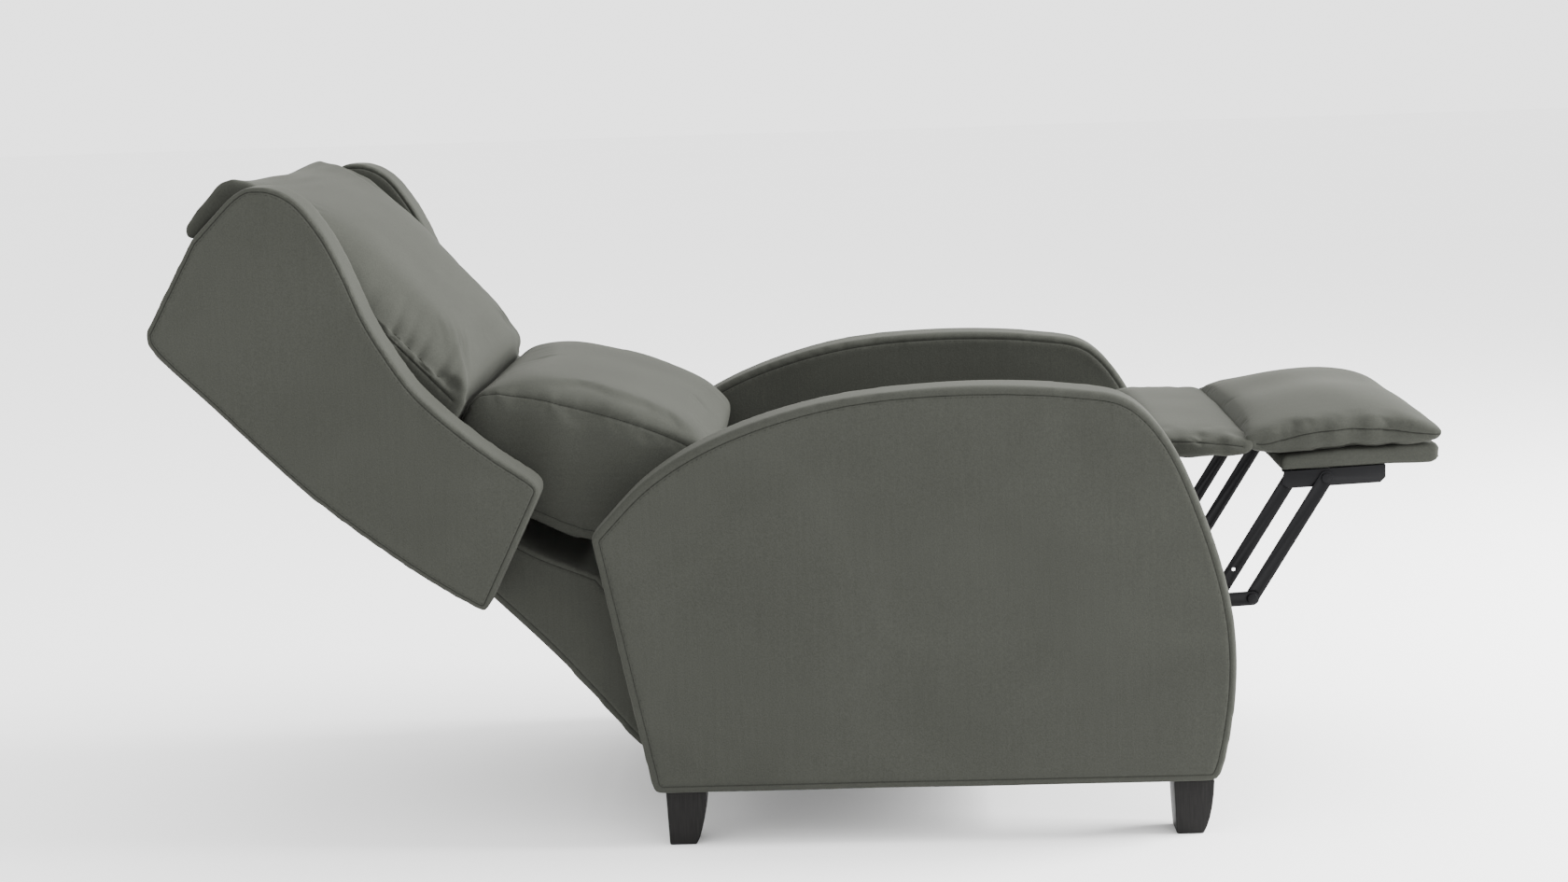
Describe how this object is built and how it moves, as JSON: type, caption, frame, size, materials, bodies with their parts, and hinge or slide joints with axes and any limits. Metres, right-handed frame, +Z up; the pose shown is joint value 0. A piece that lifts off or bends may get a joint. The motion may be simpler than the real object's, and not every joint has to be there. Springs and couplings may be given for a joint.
{
  "type": "recliner armchair",
  "caption": "Winged recliner armchair, velvet upholstered, shown fully reclined with a folding footrest on a steel bar linkage and stained wooden legs.",
  "frame": {"origin": "on the floor under the middle of the chair's box, in its reclined position", "axes": "+X towards the front of the chair and the footrest, +Y towards the sitter's left arm, +Z up"},
  "size_m": [1.706, 0.74, 0.8999],
  "materials": {
    "velvet": "short-pile velvet, grey-green",
    "black_steel": "satin black powder coat",
    "spring_steel": "oiled spring wire",
    "black_stained_wood": "black stain under satin lacquer",
    "frame_timber": "planed pine and birch plywood, unfinished",
    "lining_cloth": "black non-woven cloth"
  },
  "bodies": {
    "base": {"left_arm_cover": "velvet", "left_arm_frame": "frame_timber", "left_seat_rail": "frame_timber", "left_rear_leg": "black_stained_wood", "left_front_leg": "black_stained_wood", "left_side_plate": "black_steel", "left_plate_bolt_1": "black_steel", "left_plate_bolt_2": "black_steel", "left_fold_pin": "black_steel", "right_arm_cover": "velvet", "right_arm_frame": "frame_timber", "right_seat_rail": "frame_timber", "right_rear_leg": "black_stained_wood", "right_front_leg": "black_stained_wood", "right_side_plate": "black_steel", "right_plate_bolt_1": "black_steel", "right_plate_bolt_2": "black_steel", "right_fold_pin": "black_steel", "front_cross_rail": "frame_timber", "rear_cross_rail": "frame_timber", "seat_front_rail": "frame_timber", "seat_rear_rail": "frame_timber", "seat_spring_1": "spring_steel", "seat_spring_2": "spring_steel", "seat_spring_3": "spring_steel", "dust_cover": "lining_cloth", "seat_cushion": "velvet"},
    "back": {"left_wing_cover": "velvet", "left_wing_board": "frame_timber", "left_back_stile": "frame_timber", "left_hinge_bracket": "black_steel", "left_hinge_pin": "black_steel", "right_wing_cover": "velvet", "right_wing_board": "frame_timber", "right_back_stile": "frame_timber", "right_hinge_bracket": "black_steel", "right_hinge_pin": "black_steel", "back_top_rail": "frame_timber", "back_middle_rail": "frame_timber", "back_bottom_rail": "frame_timber", "back_outer_panel": "velvet", "lower_back": "velvet", "upper_back_cushion": "velvet", "head_flap": "velvet", "lumbar_cushion": "velvet"},
    "footrest_carrier": {"left_carrier_arm": "black_steel", "left_front_low_pin": "black_steel", "right_carrier_arm": "black_steel", "right_front_low_pin": "black_steel", "carrier_tie_tube": "black_steel"},
    "front_links": {"left_front_link": "black_steel", "right_front_link": "black_steel"},
    "rear_links": {"left_rear_link": "black_steel", "right_rear_link": "black_steel"},
    "footrest": {"left_foot_bracket": "black_steel", "right_foot_bracket": "black_steel", "footrest_board": "velvet", "footrest_pad": "velvet"},
    "knee_flap": {"knee_cushion": "velvet"}
  },
  "joints": [
    {"name": "back_recline", "type": "hinge", "parent": "base", "child": "back", "pos_m": [-0.2, 0, 0.23], "axis": [0, 1, 0], "range_deg": [0, 34]},
    {"name": "footrest_fold", "type": "hinge", "parent": "base", "child": "footrest_carrier", "pos_m": [0.4065, 0, 0.289], "axis": [0, 1, 0], "range_deg": [0, 90]},
    {"name": "front_link_pivot", "type": "hinge", "parent": "footrest_carrier", "child": "front_links", "pos_m": [0.597, 0, 0.298], "axis": [0, 1, 0], "range_deg": [-102, 0]},
    {"name": "rear_link_pivot", "type": "hinge", "parent": "footrest_carrier", "child": "rear_links", "pos_m": [0.549, 0, 0.2958], "axis": [0, 1, 0], "range_deg": [-102, 0]},
    {"name": "footrest_pivot", "type": "hinge", "parent": "front_links", "child": "footrest", "pos_m": [0.6975, 0, 0.4595], "axis": [0, 1, 0], "range_deg": [0, 102]},
    {"name": "knee_flap_hinge", "type": "hinge", "parent": "base", "child": "knee_flap", "pos_m": [0.474, 0, 0.508], "axis": [0, 1, 0], "range_deg": [0, 81]}
  ],
  "couplings": [
    {"joint": "front_link_pivot", "follows": "footrest_fold", "ratio": -1.1333},
    {"joint": "rear_link_pivot", "follows": "footrest_fold", "ratio": -1.1333},
    {"joint": "footrest_pivot", "follows": "footrest_fold", "ratio": 1.1333},
    {"joint": "knee_flap_hinge", "follows": "footrest_fold", "ratio": 0.9}
  ]
}
